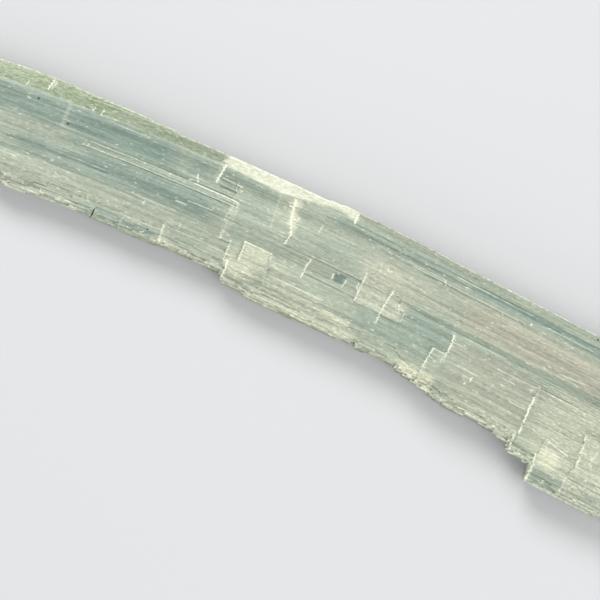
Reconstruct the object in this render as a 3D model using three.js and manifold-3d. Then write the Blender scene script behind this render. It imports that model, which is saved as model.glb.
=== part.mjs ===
// Selenite crystal blade: one long, gently bent lath of gypsum, lying on its broad face.
// Millimetres. +X runs along the blade, +Z is up, and the blade rests on Z = 0.
//
// The blade is described as if it were straight: s runs along it, t across it, z up. place() then
// bends that strip: an arc as far as BEND_END, and a straight run from there on.

import * as THREE from "three";
import { LoftGeometry } from "three/addons/geometries/LoftGeometry.js";
import { mergeVertices } from "three/addons/utils/BufferGeometryUtils.js";
import Module from "manifold-3d";

// Driving dimensions
const LEFT_END = -114;
const RIGHT_END = 118;
const THICKNESS = 10; // up to the lowest level of the top face
const BEND_RADIUS = 930; // of the line t = 0
const BEND_END = 35; // the s at which the arc gives way to a straight run
const CHORD_TURN = THREE.MathUtils.degToRad(-0.8); // lays the bent blade's chord along X
const CENTRE = new THREE.Vector2(1.6, -6.4); // middle of the bent blade's plan, which goes to 0, 0
const STATION = 11; // longest step between two sections on a smooth stretch

// The blade's plan: its smooth back edge and its broken front edge, as [s, t].
const BACK_EDGE = [
  [-114, 18.6],
  [-100, 19.2],
  [-88, 19.6],
  [-76, 19.5],
  [-70, 19],
  [-52, 18.5],
  [-50.5, 18.1],
  [-44, 18.1],
  [-42.5, 17.6],
  [0.6, 17.4],
  [1.2, 17.8],
  [4, 17.7],
  [4.8, 18.1],
  [20, 17.9],
  [40, 17.6],
  [118, 17.4],
];
const FRONT_EDGE = [
  [-114, -10.6],
  [-84, -11.4],
  [-81, -12.4],
  [-70, -12],
  [-50, -12.4],
  [-48, -13],
  [-38, -12.7],
  [-37.5, -12.3],
  [-18.4, -12.8],
  [-17, -14.9],
  [-11, -15.1],
  [-10, -15.8],
  [1.5, -15.9],
  [18, -15.4],
  [23.5, -14.8],
  [24.2, -15.5],
  [35, -15.1],
  [37, -15.9],
  [53, -18.7],
  [62, -18.4],
  [72.4, -19.3],
  [73.3, -21.1],
  [80.6, -22],
  [81.2, -26.3],
  [98, -26.4],
  [118, -25.6],
];

// Long ridges and furrows of the top face, from back to front, as [t, height above its level]
const RIDGES = [
  [14.4, 0],
  [12.3, 0.12],
  [11.2, -0.12],
  [9.4, 0.1],
  [7.1, -0.06],
  [6.8, 0.16],
  [5.4, 0.12],
  [5, -0.1],
  [2.8, 0.08],
  [1, 0.1],
  [0.4, -0.12],
  [-1.6, -0.04],
  [-2.4, 0.12],
  [-4.6, 0],
  [-6.8, 0.1],
  [-8.4, -0.08],
];

// The sides in section, each corner with its distance in from the edge of the plan: BACK_SIDE
// going up and FRONT_SIDE going down with heights over the underside, and BACK_FACET and
// FRONT_SLOPE with depths under the top face.
const BACK_SIDE = [
  [2.2, 0],
  [0.3, 2.4],
  [0, 7.4],
];
const BACK_FACET = [[0.25, 2.1]];
const FRONT_SLOPE = [
  [3.4, 0.15],
  [1.8, 1.1],
  [1.5, 2.4],
];
const FRONT_SIDE = [
  [1.5, 1.3],
  [2.6, 0],
];

// Cleavage sheets whose edges stand out along the front side. The recess of a sheet's edge from
// the edge of the plan, as [s, recess], holds from one s as far as the next.
const SHEET_ROOT = 3.5; // how far a sheet reaches in from its edge
const SHEET_BEVEL = 0.2;
const SHEET_STEP = 0.25; // half the stretch of s over which a recess changes
const FRONT_SHEETS = [
  {
    z: [1.1, 3],
    recesses: [[-114, 0.9], [-71, 0.4], [-46, 1], [-9, 0.6], [22, 1.1], [58, 0.7], [92, 1.1]],
  },
  {
    z: [3.3, 5.4],
    recesses: [[-114, 0.2], [-95, 0], [-34, 0.3], [-14, 0], [41, 0.4], [52, 0], [105, 0.5]],
  },
  {
    z: [5.7, 7.2],
    recesses: [[-114, 0.8], [-88, 0.5], [-57, 0.9], [-27, 0.6], [6, 0.3], [33, 0.9], [66, 0.4]],
  },
];

// Plates that stand on the top face: how high over its lowest level, at the left and the right
// end of each, and their plans as [s, t]. Where a plan leaves the blade, the plate ends with it.
const PLATE_ROOT = 3; // how far down a plate is joined on, under the lowest level
const PLATES = [
  {
    rise: [0.5, 0.5],
    plan: [
      [-28.8, 22],
      [-28.8, 9.3],
      [-22.8, 9.1],
      [-22.2, -4],
      [-19.1, -4.2],
      [-18.8, -7.6],
      [-17.6, -8],
      [-17.4, -30],
      [125, -30],
      [125, 22],
    ],
  },
  {
    rise: [0.15, 0.3],
    plan: [[-66, 5.2], [-66, 6.9], [-21.6, 6.9], [-21.9, 5.2]],
  },
  {
    rise: [0.95, 0.55],
    plan: [[-15.2, -2], [-15.5, -10.2], [-6.2, -10.6], [-7.4, -2.7]],
  },
  {
    rise: [0.85, 0.5],
    plan: [[-7.6, 14.4], [-6.4, 9.4], [-4.6, 4.4], [-5.6, 1.5], [18, 1.5], [24, 14.4]],
  },
  {
    rise: [0.8, 0.8],
    plan: [[2.4, 0.7], [2.6, -3.4], [18.5, -3.4], [18.5, 0.7]],
  },
  {
    rise: [1, 0.85],
    plan: [[17.7, 3.2], [18.2, -1.4], [17.8, -4.1], [31.6, -4], [31.9, -1.3], [29.6, -0.8], [29.8, 2]],
  },
  {
    rise: [1.2, 1.1],
    plan: [[25.9, 2.6], [25.7, -5.8], [28.6, -5.6], [29.2, 2]],
  },
  {
    rise: [1, 1],
    plan: [
      [46.5, 0.4],
      [46.9, -4.4],
      [46.6, -5.7],
      [43, -5.8],
      [42.7, -12.2],
      [45, -30],
      [125, -30],
      [125, 0.4],
    ],
  },
  {
    rise: [1.5, 1.5],
    plan: [[73.4, -2.3], [73.3, -9], [74, -15.2], [73, -30], [125, -30], [125, -2.3]],
  },
  {
    rise: [1.95, 1.95],
    plan: [[81.3, -13], [81.2, -30], [125, -30], [125, -13]],
  },
  {
    rise: [2.4, 2.4],
    plan: [[90.3, -7.4], [91.5, -14.4], [91, -20.4], [125, -20.4], [125, -7.4]],
  },
];

// Where flakes are gone from the top face. A floor is a height over the face's lowest level.
const PITS = [
  { s: [10.1, 13.6], t: [-1.8, 0.9], floor: -0.1 },
  { s: [-28.5, -23.4], t: [9.6, 11.1], floor: 0.1 },
  { s: [-9.5, 8.8], t: [15.2, 17.2], floor: -0.6 },
  { s: [-101, -79.6], t: [15.6, 20], floor: -1.1 },
  { s: [63, 70], t: [-4.9, -3.7], floor: 0.4 },
];

// Shallow steps of the underside. What they leave is the flat face that the blade rests on.
const UNDER_STEPS = [
  {
    depth: 0.6,
    plan: [[-125, 22], [-125, -30], [-86, -30], [-86.5, -3], [-79, -2.6], [-78.6, 22]],
  },
  {
    depth: 1.3,
    plan: [[-125, 22], [-125, -30], [-98, -30], [-97.6, 2], [-93.4, 2.4], [-93, 22]],
  },
  { depth: 0.5, plan: [[-41, -8.2], [-40.6, -30], [26.4, -30], [26, -9]] },
  { depth: 0.45, plan: [[4, 13.1], [4.4, 22], [59, 22], [58.6, 13.4]] },
  {
    depth: 0.6,
    plan: [
      [88.2, 22],
      [88.6, 4],
      [95, 3.6],
      [95.4, -12],
      [83, -12.4],
      [82.6, -30],
      [125, -30],
      [125, 22],
    ],
  },
  { depth: 1.2, plan: [[103, 22], [103.4, -30], [125, -30], [125, 22]] },
  { depth: 0.35, plan: [[-58, 4.2], [-58, 5.4], [-12, 5.4], [-12, 4.2]] },
  { depth: 0.35, plan: [[14, -2.4], [14, -3.5], [66, -3.5], [66, -2.4]] },
];

// The broken ends, lath by lath from front to back: the stretch of t that a lath takes, the s at
// which its lower, middle and upper third end, and how much further its back corner reaches.
const LEFT_LATHS = [
  { t: [-20, -9.2], ends: [-102, -105.5, -99.5], slant: -3.2 },
  { t: [-9.2, -7.4], ends: [-106.5, -108, -104.6], slant: -0.6 },
  { t: [-7.4, -4.6], ends: [-107.4, -111, -105], slant: 1.8 },
  { t: [-4.6, -3.4], ends: [-110.4, -112.2, -107.5], slant: -0.4 },
  { t: [-3.4, 0.4], ends: [-105.2, -107.4, -102.5], slant: -2.6 },
  { t: [0.4, 2.8], ends: [-108.4, -110, -109.2], slant: 1.2 },
  { t: [2.8, 6.8], ends: [-109.6, -113, -110.8], slant: -1.4 },
  { t: [6.8, 9.4], ends: [-104.4, -110.2, -106], slant: 2.2 },
  { t: [9.4, 12.3], ends: [-106.2, -107.8, -101.4], slant: 0.8 },
  { t: [12.3, 25], ends: [-100.5, -103.6, -97.5], slant: 3.4 },
];
const RIGHT_LATHS = [
  { t: [-35, -21.2], ends: [103.4, 107.2, 102], slant: 3 },
  { t: [-21.2, -18.4], ends: [109.5, 110.8, 106.4], slant: -1.6 },
  { t: [-18.4, -13], ends: [110.8, 113.6, 109.4], slant: 2.4 },
  { t: [-13, -11.4], ends: [114, 115.6, 112.2], slant: 0.4 },
  { t: [-11.4, -7.4], ends: [110.6, 112.2, 108], slant: -2.4 },
  { t: [-7.4, -5.2], ends: [114.2, 117.4, 113.4], slant: 0.8 },
  { t: [-5.2, -1.2], ends: [115.4, 116.4, 111.6], slant: 1.8 },
  { t: [-1.2, 2.8], ends: [112, 116.6, 114.6], slant: -1.8 },
  { t: [2.8, 5.4], ends: [111.4, 113, 107.4], slant: -1 },
  { t: [5.4, 9.4], ends: [107.6, 113.2, 110.2], slant: 1.4 },
  { t: [9.4, 12.3], ends: [108, 109.2, 104.4], slant: -2 },
  { t: [12.3, 25], ends: [102.6, 106.4, 101.4], slant: -4 },
];
const THIRDS = [0, 3.15, 7.3, 12.6]; // heights where the thirds of a lath begin and end

const OVERLAP = 0.02; // by which cuts that meet run into each other
const CLEAR = 4; // how far a cut goes beyond the blade

const wasm = await Module();
wasm.setup();

// A point of the straight strip, bent, turned onto the chord and centred
function place(s, t, z) {
  const onArc = Math.min(s, BEND_END) / BEND_RADIUS;
  const beyond = Math.max(s - BEND_END, 0);
  const onPlan = new THREE.Vector2(
    (BEND_RADIUS + t) * Math.sin(onArc) + beyond * Math.cos(onArc),
    (BEND_RADIUS + t) * Math.cos(onArc) - BEND_RADIUS - beyond * Math.sin(onArc),
  );
  onPlan.rotateAround(new THREE.Vector2(), CHORD_TURN).sub(CENTRE);
  return new THREE.Vector3(onPlan.x, onPlan.y, z);
}

// The t at s of an edge given as [s, t] points
function edgeAt(edge, s) {
  const next = edge.findIndex(([at]) => at > s);
  if (next < 0) return edge.at(-1)[1];
  const [s0, t0] = edge[Math.max(next - 1, 0)];
  const [s1, t1] = edge[next];
  return s1 === s0 ? t0 : THREE.MathUtils.mapLinear(s, s0, s1, t0, t1);
}

// Where the sections of a loft go: at its ends and each given place between them, with no gap
// longer than STATION
function stations(from, to, places) {
  const inside = places.filter((s) => s > from + SHEET_BEVEL && s < to - SHEET_BEVEL);
  const fixed = [from, ...inside, to].sort((a, b) => a - b);
  const gaps = fixed.slice(1).flatMap((s, i) => {
    const gap = s - fixed[i];
    const steps = Math.ceil(gap / STATION);
    return Array.from({ length: steps }, (_, k) => s - (gap * (steps - 1 - k)) / steps);
  });
  return [from, ...gaps];
}

function solid(geometry) {
  const bare = new THREE.BufferGeometry().setIndex(geometry.index);
  const merged = mergeVertices(bare.setAttribute("position", geometry.attributes.position), 1e-4);
  return new wasm.Manifold(
    new wasm.Mesh({
      numProp: 3,
      vertProperties: merged.attributes.position.array,
      triVerts: new Uint32Array(merged.index.array),
    }),
  );
}

// A closed loft along the blade, whose section at s is ring(s), a loop of [t, z] points
function loft(places, ring) {
  const sections = places.map((s) => ring(s).map(([t, z]) => place(s, t, z)));
  return solid(new LoftGeometry(sections, { capStart: true, capEnd: true }));
}

// An upright prism on a plan given as [s, t] points, whose long sides follow the bend
function prism(plan, z0, z1) {
  const outline = plan.flatMap(([s, t], i) => {
    const [nextS, nextT] = plan[(i + 1) % plan.length];
    const steps = Math.max(Math.ceil(Math.abs(nextS - s) / STATION), 1);
    return Array.from({ length: steps }, (_, k) => {
      const at = place(s + ((nextS - s) * k) / steps, t + ((nextT - t) * k) / steps, 0);
      return new THREE.Vector2(at.x, at.y);
    });
  });
  const shape = new THREE.Shape(outline);
  const geometry = new THREE.ExtrudeGeometry(shape, { depth: z1 - z0, bevelEnabled: false });
  return solid(geometry.translate(0, 0, z0));
}

// The blade, or a stretch of it, with its top face raised by rise(s)
function blade(from, to, rise) {
  const breaks = [...BACK_EDGE, ...FRONT_EDGE].map(([s]) => s);
  return loft(stations(from, to, breaks), (s) => {
    const back = edgeAt(BACK_EDGE, s);
    const front = edgeAt(FRONT_EDGE, s);
    const top = THICKNESS + rise(s);
    return [
      ...BACK_SIDE.map(([inward, up]) => [back - inward, up]),
      ...BACK_FACET.map(([inward, down]) => [back - inward, top - down]),
      ...RIDGES.map(([t, height]) => [t, top + height]),
      ...FRONT_SLOPE.map(([inward, down]) => [front + inward, top - down]),
      ...FRONT_SIDE.map(([inward, up]) => [front + inward, up]),
    ];
  });
}

function frontSheet({ z: [z0, z1], recesses }) {
  const jumps = recesses.flatMap(([s]) => [s - SHEET_STEP, s + SHEET_STEP]);
  const breaks = [...FRONT_EDGE.map(([s]) => s), ...jumps];
  return loft(stations(LEFT_END, RIGHT_END, breaks), (s) => {
    const [, recess] = recesses.findLast(([from]) => from <= s);
    const edge = edgeAt(FRONT_EDGE, s) + recess;
    return [
      [edge + SHEET_BEVEL, z0],
      [edge + SHEET_ROOT, z0],
      [edge + SHEET_ROOT, z1],
      [edge + SHEET_BEVEL, z1],
      [edge, (z0 + z1) / 2],
    ];
  });
}

function plate({ rise, plan }) {
  const reach = plan.map(([s]) => s);
  const from = Math.max(Math.min(...reach) - 1, LEFT_END);
  const to = Math.min(Math.max(...reach) + 1, RIGHT_END);
  const layer = blade(from, to, (s) => THREE.MathUtils.mapLinear(s, from, to, ...rise));
  return layer.intersect(prism(plan, THICKNESS - PLATE_ROOT, THICKNESS + CLEAR));
}

function pit({ s: [s0, s1], t: [t0, t1], floor }) {
  const plan = [[s0, t0], [s1, t0], [s1, t1], [s0, t1]];
  return prism(plan, THICKNESS + floor, THICKNESS + CLEAR);
}

// What is gone beyond a broken end, out to the s called outside
function beyondEnd(laths, outside) {
  return laths.flatMap(({ t: [t0, t1], ends, slant }) =>
    ends.map((end, i) => {
      const [front, back] = [t0 - OVERLAP, t1 + OVERLAP];
      const plan = [[outside, front], [end, front], [end + slant, back], [outside, back]];
      return prism(plan, THIRDS[i] - OVERLAP, THIRDS[i + 1] + OVERLAP);
    }),
  );
}

function crystal() {
  const level = blade(LEFT_END, RIGHT_END, () => 0);
  const grown = [...FRONT_SHEETS.map(frontSheet), ...PLATES.map(plate)];
  const lost = [
    ...PITS.map(pit),
    ...UNDER_STEPS.map(({ depth, plan }) => prism(plan, -CLEAR, depth)),
    ...beyondEnd(LEFT_LATHS, LEFT_END - CLEAR),
    ...beyondEnd(RIGHT_LATHS, RIGHT_END + CLEAR),
  ];
  const whole = grown.reduce((body, piece) => body.add(piece), level);
  return lost.reduce((body, piece) => body.subtract(piece), whole);
}

function geometryOf(body) {
  const { vertProperties, triVerts } = body.getMesh();
  const geometry = new THREE.BufferGeometry();
  geometry.setAttribute("position", new THREE.BufferAttribute(vertProperties, 3));
  geometry.setIndex(new THREE.BufferAttribute(triVerts, 1));
  geometry.computeVertexNormals();
  return geometry;
}

const selenite = new THREE.MeshStandardMaterial({
  color: new THREE.Color().setRGB(0.7, 0.74, 0.67, THREE.SRGBColorSpace),
  roughness: 0.35,
  metalness: 0,
  flatShading: true,
});

const crystalBlade = new THREE.Mesh(geometryOf(crystal()), selenite);
crystalBlade.name = "selenite_blade";

const part = new THREE.Group();
part.add(crystalBlade);

export default part;
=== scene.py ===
"""Selenite crystal blade: a long, gently bent lath of milky gypsum that lies on its broad face.

Laid out as a Blender add-on and run as a script. The blade is first modelled as if it were
straight: s runs along it, t across it and z up, in the places that follow, which are in
millimetres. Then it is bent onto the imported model's line.
"""

import math
from contextlib import contextmanager

import bpy
import numpy as np
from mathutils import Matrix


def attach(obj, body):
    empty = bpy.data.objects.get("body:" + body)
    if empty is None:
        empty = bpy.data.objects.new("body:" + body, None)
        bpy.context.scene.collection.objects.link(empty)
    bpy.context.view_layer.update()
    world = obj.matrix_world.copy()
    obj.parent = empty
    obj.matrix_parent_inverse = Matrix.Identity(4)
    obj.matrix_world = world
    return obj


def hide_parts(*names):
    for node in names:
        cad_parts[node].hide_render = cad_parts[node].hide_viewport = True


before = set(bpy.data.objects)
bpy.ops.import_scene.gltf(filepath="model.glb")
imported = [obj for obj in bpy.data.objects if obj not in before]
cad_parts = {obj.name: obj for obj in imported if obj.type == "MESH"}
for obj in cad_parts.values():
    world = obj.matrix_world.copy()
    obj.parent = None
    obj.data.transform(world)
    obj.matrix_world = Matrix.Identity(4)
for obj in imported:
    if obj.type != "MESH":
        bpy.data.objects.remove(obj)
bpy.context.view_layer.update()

bl_info = {
    "name": "Selenite crystal blade",
    "version": (1, 0, 0),
    "blender": (4, 5, 0),
    "location": "View3D > Sidebar > Selenite",
    "description": "Grows a bent blade of milky selenite with stepped cleavage and broken ends",
    "category": "Object",
}

MM = 0.001
CAD_NODE = "selenite_blade"
SEED = 11

# The bend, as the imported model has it
BEND_RADIUS = 930.0
BEND_END = 35.0
CHORD_TURN = math.radians(-0.8)
CENTRE = (1.6, -6.4)

# The block that the blade grows from: the parts of it that no step, notch or pit takes away
BLOCK_S = (-97.0, 101.0)
BLOCK_T = (-10.4, 17.4)
BLOCK_Z = (1.5, 7.4)
TOP = 10.0  # lowest level of the whole top face

# The smooth back edge and the broken front edge in plan, as (s, t)
BACK_EDGE = (
    (-114, 18.6), (-100, 19.2), (-88, 19.6), (-76, 19.5), (-70, 19), (-52, 18.5), (-50.5, 18.1),
    (-44, 18.1), (-42.5, 17.6), (0.6, 17.4), (1.2, 17.8), (4, 17.7), (4.8, 18.1), (20, 17.9),
    (40, 17.6), (118, 17.4),
)
FRONT_EDGE = (
    (-114, -10.6), (-84, -11.4), (-81, -12.4), (-70, -12), (-50, -12.4), (-48, -13), (-38, -12.7),
    (-37.5, -12.3), (-18.4, -12.8), (-17, -14.9), (-11, -15.1), (-10, -15.8), (1.5, -15.9),
    (18, -15.4), (23.5, -14.8), (24.2, -15.5), (35, -15.1), (37, -15.9), (53, -18.7), (62, -18.4),
    (72.4, -19.3), (73.3, -21.1), (80.6, -22), (81.2, -26.3), (98, -26.4), (118, -25.6),
)
FACET_EDGE = 14.4  # the t where the long facet along the back begins
FACET_DROP = 2.4

# How far the foot of each side is drawn in, as (z, z, z), (distance at each)
BACK_BEVEL = ((0, 2.4, 7), (2.2, 0.3, 0))
FRONT_BEVEL = ((0, 1.3, 3), (1.1, 0.3, 0))

# The sheets that end along the front side, from the lowest up, as (highest z, least and most that
# they stay back from the edge), and how far past the drawn edge the foremost ones reach
FRONT_LAYERS = (
    (2.2, 0.8, 1.5), (3.1, 0.3, 1.1), (4.2, 0.0, 0.1), (5.2, 0.0, 0.3),
    (5.8, 0.5, 1.3), (6.4, 0.2, 1.0), (6.9, 0.4, 1.2), (99, 0.0, 0.6),
)
FRONT_REACH = 0.25
LAYER_HOLDS = (4, 24)  # shortest and longest stretch of s that a sheet's edge runs straight

# The shelves in the top face along the front, each as (drop, mean width)
FRONT_SHELVES = ((0.3, 3.7), (0.3, 2.4), (0.5, 1.5), (0.8, 0.7))
SHELF_HOLDS = (0.8, 11)

# Plates that stand on the top face, as (height, plan), the plan as (s, t)
PLATES = (
    (0.5, ((-28.8, 22), (-28.8, 9.3), (-22.8, 9.1), (-22.2, -4), (-19.1, -4.2), (-18.8, -7.6),
           (-17.6, -8), (-17.4, -30), (125, -30), (125, 22))),
    (0.2, ((-66, 5.2), (-66, 6.9), (-21.6, 6.9), (-21.9, 5.2))),
    (0.85, ((-15.2, -2), (-15.5, -10.2), (-6.2, -10.6), (-7.4, -2.7))),
    (0.7, ((-7.6, 14.4), (-6.4, 9.4), (-4.6, 4.4), (-5.6, 1.5), (18, 1.5), (24, 14.4))),
    (0.8, ((2.4, 0.7), (2.6, -3.4), (18.5, -3.4), (18.5, 0.7))),
    (0.95, ((17.7, 3.2), (18.2, -1.4), (17.8, -4.1), (31.6, -4), (31.9, -1.3), (29.6, -0.8),
            (29.8, 2))),
    (1.15, ((26.1, 2.6), (25.8, -4), (31.4, -3.9), (31.7, -1.4), (29.2, -1), (29.4, 1.8))),
    (1.0, ((46.5, 0.4), (46.9, -4.4), (46.6, -5.7), (43, -5.8), (42.7, -12.2), (45, -30),
           (125, -30), (125, 0.4))),
    (1.5, ((73.4, -2.3), (73.3, -9), (74, -15.2), (73, -30), (125, -30), (125, -2.3))),
    (1.95, ((81.3, -13), (81.2, -30), (125, -30), (125, -13))),
    (2.4, ((90.3, -7.4), (91.5, -14.4), (91, -20.4), (125, -20.4), (125, -7.4))),
)

# Where flakes are gone from the top face, as (s, t, floor height over TOP)
PITS = (
    ((10.3, 13.4), (-1.7, 0.2), 0.3),
    ((10.9, 13.7), (0.2, 0.9), 0.5),
    ((-28.5, -23.4), (9.6, 11.1), 0.2),
)

# Steps of the underside, as (depth, plan)
UNDER_STEPS = (
    (0.6, ((-125, 22), (-125, -30), (-86, -30), (-86.5, -3), (-79, -2.6), (-78.6, 22))),
    (1.3, ((-125, 22), (-125, -30), (-98, -30), (-97.6, 2), (-93.4, 2.4), (-93, 22))),
    (0.5, ((-41, -8.2), (-40.6, -30), (26.4, -30), (26, -9))),
    (0.4, ((4, 13.1), (4.4, 22), (59, 22), (58.6, 13.4))),
    (0.6, ((88.2, 22), (88.6, 4), (95, 3.6), (95.4, -12), (83, -12.4), (82.6, -30), (125, -30),
           (125, 22))),
    (1.2, ((103, 22), (103.4, -30), (125, -30), (125, 22))),
    (0.3, ((-58, 4.2), (-58, 5.4), (-12, 5.4), (-12, 4.2))),
    (0.3, ((14, -2.4), (14, -3.5), (66, -3.5), (66, -2.4))),
)

# The broken ends, lath by lath, as (t from, t to, s of the lower, middle and upper third, how
# much further the back corner reaches)
LEFT_LATHS = (
    (-20, -9.2, -102, -105.5, -99.5, -3.2), (-9.2, -7.4, -106.5, -108, -104.6, -0.6),
    (-7.4, -4.6, -107.4, -111, -105, 1.8), (-4.6, -3.4, -110.4, -112.2, -107.5, -0.4),
    (-3.4, 0.4, -105.2, -107.4, -102.5, -2.6), (0.4, 2.8, -108.4, -110, -109.2, 1.2),
    (2.8, 6.8, -109.6, -113, -110.8, -1.4), (6.8, 9.4, -104.4, -110.2, -106, 2.2),
    (9.4, 12.3, -106.2, -107.8, -101.4, 0.8), (12.3, 25, -100.5, -103.6, -97.5, 3.4),
)
RIGHT_LATHS = (
    (-35, -21.2, 103.4, 107.2, 102, 3), (-21.2, -18.4, 109.5, 110.8, 106.4, -1.6),
    (-18.4, -13, 110.8, 113.6, 109.4, 2.4), (-13, -11.4, 114, 115.6, 112.2, 0.4),
    (-11.4, -7.4, 110.6, 112.2, 108, -2.4), (-7.4, -5.2, 114.2, 117.4, 113.4, 0.8),
    (-5.2, -1.2, 115.4, 116.4, 111.6, 1.8), (-1.2, 2.8, 112, 116.6, 114.6, -1.8),
    (2.8, 5.4, 111.4, 113, 107.4, -1), (5.4, 9.4, 107.6, 113.2, 110.2, 1.4),
    (9.4, 12.3, 108, 109.2, 104.4, -2), (12.3, 25, 102.6, 106.4, 101.4, -4),
)
THIRDS = (3.15, 7.3)  # the z where one third ends and the next begins
END_STEP, FRONT_STEP, FLAT_STEP = 0.6, 0.45, 0.1  # the steps in which the sides are grown

# Tinted stretches of the top face, as (s from, s to, t from, t to, softness of the rim, amount)
CREAM_PATCHES = (
    (-15.1, -7.4, -7.8, -2.2, 0.3, 0.62), (-17.5, -9, -12, -7.6, 0.8, 0.75),
    (-8, -1, -9, -3, 1.5, 0.45), (-18.9, -15.2, -9.8, -4, 0.4, 0.5), (-12, -5, 3, 14, 0.6, 0.2),
    (-22.3, -20.4, -4, 6, 0.3, 0.3), (18.1, 31.8, -4.1, 1.8, 0.25, 0.42), (16, 30, 1.8, 8, 1, 0.3),
    (14, 34, 4, 9, 2, 0.2), (80.8, 88, -21, -15.5, 0.8, 0.95), (82, 125, -22, -13, 1, 0.4),
    (90.6, 96, -15.2, -8, 0.3, 0.55), (91, 96, -23.8, -20.6, 0.3, 0.5),
    (74.4, 81, -15, -4, 0.6, 0.3), (-125, -60, -10, -4, 1.6, 0.28), (-62, -46, -9, -5, 1.2, 0.25),
    (-50, -38, -9, -7, 0.6, 0.45), (-8, 12, -12.5, -7, 1, 0.42), (10.5, 20, -11.7, -9.7, 0.4, 0.75),
    (-10, 24, -16, -12, 0.8, 0.5), (36, 47.5, -17.2, -12.6, 0.5, 0.8),
    (53, 72.8, -16.4, -14.5, 0.3, 0.6), (53, 73, -19, -16, 0.5, 0.3),
    (-36, -18, -12.4, -10.4, 0.5, 0.3), (43, 47, -12, -5.8, 0.3, 0.3), (92, 125, -20, 6, 2, 0.4),
    (-125, -90, -2, 7, 2, 0.2), (-37.4, -34.8, -12, -4, 0.4, 0.45),
    (-50, -21.8, 5.3, 6.7, 0.3, 0.25), (-8.2, -5.6, 9.8, 14.2, 0.3, 0.85),
    (-7, -4.6, 7, 10.2, 0.3, 0.75), (-5.8, -4.2, 4.6, 7.4, 0.3, 0.65),
    (75, 125, -20, 0, 1.4, 0.48),
)
MIST_PATCHES = (
    (-100, -70, 7.2, 14.6, 1, 0.8), (-74, -40, 7.6, 14, 1.6, 1.0), (-40, -29, 8.6, 14, 1.2, 0.6),
    (-85, -46, -2, 3, 1.4, 0.6), (-66, -26, -1.6, 4.6, 1.3, 0.8),
    (-28.5, -22.5, 8.8, 14, 0.3, 0.45), (-28, -14, 11.6, 13.8, 0.9, 0.4),
    (-60, -38, -12.6, -9, 0.8, 0.5), (1, 16, 2, 9, 1.5, 0.22), (10.4, 13.4, -1.7, 0.9, 0.2, 1.0),
    (32, 46.5, -8, 2, 0.8, 0.55), (20, 46, -9.5, -4.4, 0.8, 0.45), (4, 45, 12.3, 15.5, 0.9, 0.5),
    (45, 88, 12.2, 15, 0.9, 0.8), (45, 96, 0.2, 2.6, 1, 0.3), (82, 90, -26, -22.4, 0.4, 0.4),
    (75, 80.5, -21.5, -16.5, 0.4, 0.15), (92, 125, 8, 14, 2, 0.6), (-22, -12, 5, 12, 1, 0.25),
    (-70, -22, 4.4, 8, 0.8, 0.5), (-23, -12, -2, 5, 1, 0.15),
)
WARM_PATCHES = (
    (14, 38, 2, 9.5, 2, 0.5), (46, 125, 2.4, 10.5, 1.5, 1.0), (49, 73, -14, -1, 1.2, 0.45),
)
OLIVE_PATCHES = (
    (-125, -56, 12, 22, 3, 1.0), (-60, -29, 12, 22, 2, 0.6), (9.8, 125, 12, 22, 0.3, 0.12),
)
SIDE_FADE = (4, 8.5)  # the z between which the tints fade out down the sides
PAINTED_HIGHLIGHT_BAND = (-28.7, 9.2)  # the s where the painted highlight along the back facet starts and ends

# The lower borders of the olive band and of the painted highlight band along the back, as (s, t)
BAND_BORDER = (
    (-125, 14.8), (-70, 14.7), (-60, 14.2), (-52, 13.8), (-46, 14.2), (-29, 14.8), (-28, 14.7),
    (-20, 14.2), (-12, 13.8), (-7, 14.5), (0, 15.8), (5, 16.3), (8.5, 15.5), (10, 15.4),
    (125, 15.8),
)

# The marks drawn on the top face fade out between these z, down the sides
MARK_FADE = (5.5, 8.0)

# Small dark specks, as (s, t, radius)
SPECKS = ((-81.3, 12.7, 0.42), (-71.6, 9.0, 0.42), (-41.1, -9.6, 0.34), (81.7, 16.5, 0.4))
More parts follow.
